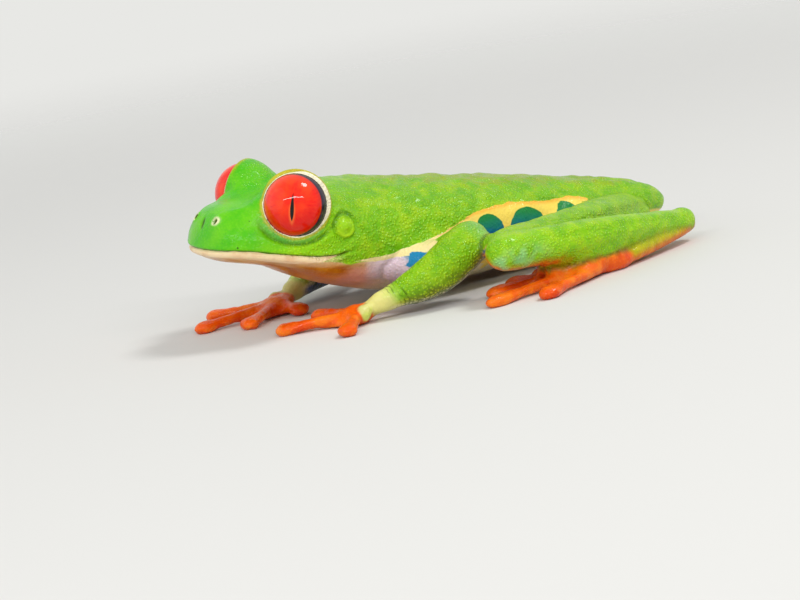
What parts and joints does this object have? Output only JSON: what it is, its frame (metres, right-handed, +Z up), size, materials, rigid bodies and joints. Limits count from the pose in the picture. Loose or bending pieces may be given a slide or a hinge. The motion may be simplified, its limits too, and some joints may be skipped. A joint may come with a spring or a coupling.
{
  "type": "red-eyed tree frog model",
  "caption": "Still, life-size model of a crouching red-eyed tree frog with raised head, bulging red eyes, green back, blue and yellow flanks and orange hands and feet.",
  "frame": {"origin": "middle of the footprint, on the floor that the hands and feet rest on", "axes": "-Y the way the frog faces, +X its left side, +Z up"},
  "size_m": [0.0504, 0.0618, 0.0192],
  "materials": {
    "skin": "moist, finely grained skin: green above, cream below, blue and yellow flanks, orange hands and feet",
    "eye": "wet, clear-coated red iris with an upright black slit"
  },
  "bodies": {
    "root": {"head": "skin", "lower_jaw": "skin", "ear_left": "skin", "ear_right": "skin", "trunk": "skin", "upper_arm_left": "skin", "forearm_left": "skin", "hand_left": "skin", "thigh_left": "skin", "shank_left": "skin", "tarsus_left": "skin", "foot_left": "skin", "upper_arm_right": "skin", "forearm_right": "skin", "hand_right": "skin", "thigh_right": "skin", "shank_right": "skin", "tarsus_right": "skin", "foot_right": "skin", "eye_left": "eye", "eye_right": "eye"}
  },
  "joints": []
}
